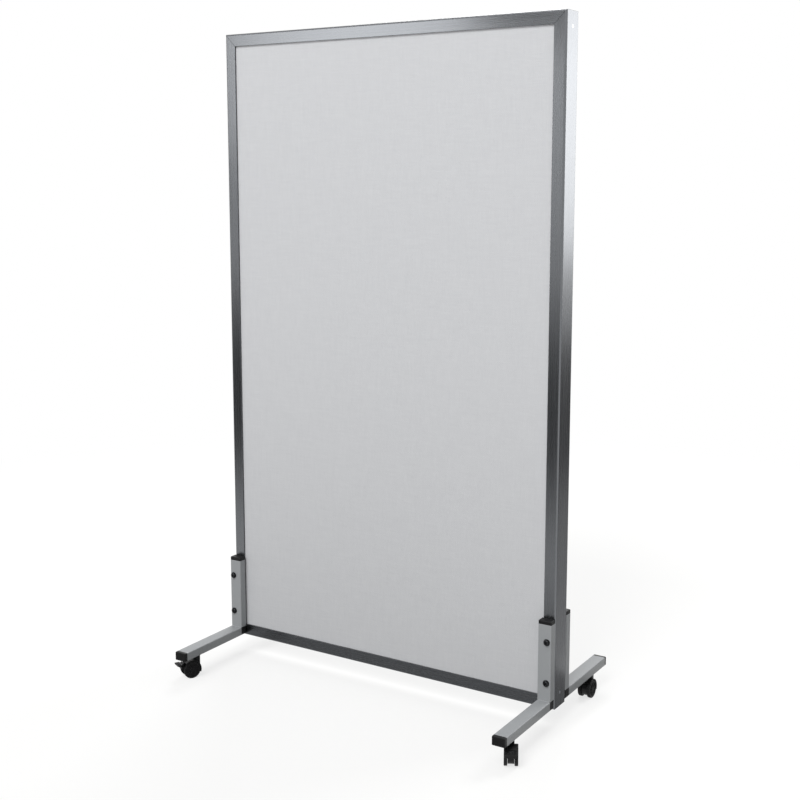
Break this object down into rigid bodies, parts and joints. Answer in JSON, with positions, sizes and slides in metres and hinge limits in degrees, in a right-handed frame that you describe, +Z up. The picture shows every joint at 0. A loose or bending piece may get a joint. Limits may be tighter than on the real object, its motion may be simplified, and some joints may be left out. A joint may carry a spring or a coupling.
{
  "type": "mobile acoustic partition",
  "caption": "Free-standing upright acoustic panel with fabric faces in a slim aluminium frame, carried at each end by splayed tube feet on swivelling twin-wheel castors.",
  "frame": {"origin": "on the floor, under the middle of the panel", "axes": "+Z up, +X along the panel to the right as seen from the front, -Y towards the front"},
  "size_m": [1.119, 0.63, 1.86],
  "materials": {
    "frame_aluminium": "satin",
    "key_aluminium": "matte",
    "zinc_steel": "satin",
    "panel_fabric": "matte",
    "facing_board": "matte",
    "acoustic_felt": "matte",
    "gasket_rubber": "matte",
    "leg_paint": "satin",
    "cap_plastic": "matte",
    "black_steel": "satin",
    "castor_plastic": "satin",
    "wheel_plastic": "satin",
    "tyre_rubber": "matte"
  },
  "bodies": {
    "partition": {"left_stile": "frame_aluminium", "right_stile": "frame_aluminium", "top_rail": "frame_aluminium", "bottom_rail": "frame_aluminium", "corner_key_top_left": "key_aluminium", "corner_key_top_right": "key_aluminium", "corner_key_bottom_left": "key_aluminium", "corner_key_bottom_right": "key_aluminium", "corner_screws": "zinc_steel", "front_fabric": "panel_fabric", "rear_fabric": "panel_fabric", "front_board": "facing_board", "rear_board": "facing_board", "acoustic_core": "acoustic_felt", "front_gasket": "gasket_rubber", "rear_gasket": "gasket_rubber", "bolt_sleeves": "zinc_steel", "upright_caps": "cap_plastic", "toe_caps": "cap_plastic", "heel_corners": "cap_plastic", "leg_bolts": "black_steel", "leg_washers": "black_steel", "leg_nuts": "black_steel", "castor_inserts": "zinc_steel", "castor_stems": "zinc_steel", "front_left_arm": "leg_paint", "front_left_upright": "leg_paint", "front_right_arm": "leg_paint", "front_right_upright": "leg_paint", "rear_left_arm": "leg_paint", "rear_left_upright": "leg_paint", "rear_right_arm": "leg_paint", "rear_right_upright": "leg_paint"},
    "front_left_castor": {"front_left_castor_housing": "castor_plastic", "front_left_castor_axle": "zinc_steel"},
    "front_left_wheel_a": {"front_left_wheel_a": "wheel_plastic", "front_left_tyre_a": "tyre_rubber"},
    "front_left_wheel_b": {"front_left_wheel_b": "wheel_plastic", "front_left_tyre_b": "tyre_rubber"},
    "front_left_brake": {"front_left_brake_lever": "castor_plastic"},
    "front_right_castor": {"front_right_castor_housing": "castor_plastic", "front_right_castor_axle": "zinc_steel"},
    "front_right_wheel_a": {"front_right_wheel_a": "wheel_plastic", "front_right_tyre_a": "tyre_rubber"},
    "front_right_wheel_b": {"front_right_wheel_b": "wheel_plastic", "front_right_tyre_b": "tyre_rubber"},
    "front_right_brake": {"front_right_brake_lever": "castor_plastic"},
    "rear_left_castor": {"rear_left_castor_housing": "castor_plastic", "rear_left_castor_axle": "zinc_steel"},
    "rear_left_wheel_a": {"rear_left_wheel_a": "wheel_plastic", "rear_left_tyre_a": "tyre_rubber"},
    "rear_left_wheel_b": {"rear_left_wheel_b": "wheel_plastic", "rear_left_tyre_b": "tyre_rubber"},
    "rear_right_castor": {"rear_right_castor_housing": "castor_plastic", "rear_right_castor_axle": "zinc_steel"},
    "rear_right_wheel_a": {"rear_right_wheel_a": "wheel_plastic", "rear_right_tyre_a": "tyre_rubber"},
    "rear_right_wheel_b": {"rear_right_wheel_b": "wheel_plastic", "rear_right_tyre_b": "tyre_rubber"}
  },
  "joints": [
    {"name": "front_left_swivel", "type": "hinge", "parent": "partition", "child": "front_left_castor", "pos_m": [-0.5185, -0.245, 0.045], "axis": [0, 0, 1], "continuous": true},
    {"name": "front_left_wheel_a_spin", "type": "hinge", "parent": "front_left_castor", "child": "front_left_wheel_a", "pos_m": [-0.52758, -0.26282, 0.025], "axis": [0.891, -0.454, 0], "continuous": true},
    {"name": "front_left_wheel_b_spin", "type": "hinge", "parent": "front_left_castor", "child": "front_left_wheel_b", "pos_m": [-0.52758, -0.26282, 0.025], "axis": [0.891, -0.454, 0], "continuous": true},
    {"name": "front_left_brake_tip", "type": "hinge", "parent": "front_left_castor", "child": "front_left_brake", "pos_m": [-0.53853, -0.2843, 0.04384], "axis": [0.891, -0.454, 0], "range_deg": [0, 15]},
    {"name": "front_right_swivel", "type": "hinge", "parent": "partition", "child": "front_right_castor", "pos_m": [0.5185, -0.245, 0.045], "axis": [0, 0, 1], "continuous": true},
    {"name": "front_right_wheel_a_spin", "type": "hinge", "parent": "front_right_castor", "child": "front_right_wheel_a", "pos_m": [0.52758, -0.26282, 0.025], "axis": [0.891, 0.454, 0], "continuous": true},
    {"name": "front_right_wheel_b_spin", "type": "hinge", "parent": "front_right_castor", "child": "front_right_wheel_b", "pos_m": [0.52758, -0.26282, 0.025], "axis": [0.891, 0.454, 0], "continuous": true},
    {"name": "front_right_brake_tip", "type": "hinge", "parent": "front_right_castor", "child": "front_right_brake", "pos_m": [0.53853, -0.2843, 0.04384], "axis": [0.891, 0.454, 0], "range_deg": [0, 15]},
    {"name": "rear_left_swivel", "type": "hinge", "parent": "partition", "child": "rear_left_castor", "pos_m": [-0.5185, 0.245, 0.045], "axis": [0, 0, 1], "continuous": true},
    {"name": "rear_left_wheel_a_spin", "type": "hinge", "parent": "rear_left_castor", "child": "rear_left_wheel_a", "pos_m": [-0.5185, 0.225, 0.025], "axis": [1, 0, 0], "continuous": true},
    {"name": "rear_left_wheel_b_spin", "type": "hinge", "parent": "rear_left_castor", "child": "rear_left_wheel_b", "pos_m": [-0.5185, 0.225, 0.025], "axis": [1, 0, 0], "continuous": true},
    {"name": "rear_right_swivel", "type": "hinge", "parent": "partition", "child": "rear_right_castor", "pos_m": [0.5185, 0.245, 0.045], "axis": [0, 0, 1], "continuous": true},
    {"name": "rear_right_wheel_a_spin", "type": "hinge", "parent": "rear_right_castor", "child": "rear_right_wheel_a", "pos_m": [0.5185, 0.225, 0.025], "axis": [1, 0, 0], "continuous": true},
    {"name": "rear_right_wheel_b_spin", "type": "hinge", "parent": "rear_right_castor", "child": "rear_right_wheel_b", "pos_m": [0.5185, 0.225, 0.025], "axis": [1, 0, 0], "continuous": true}
  ]
}
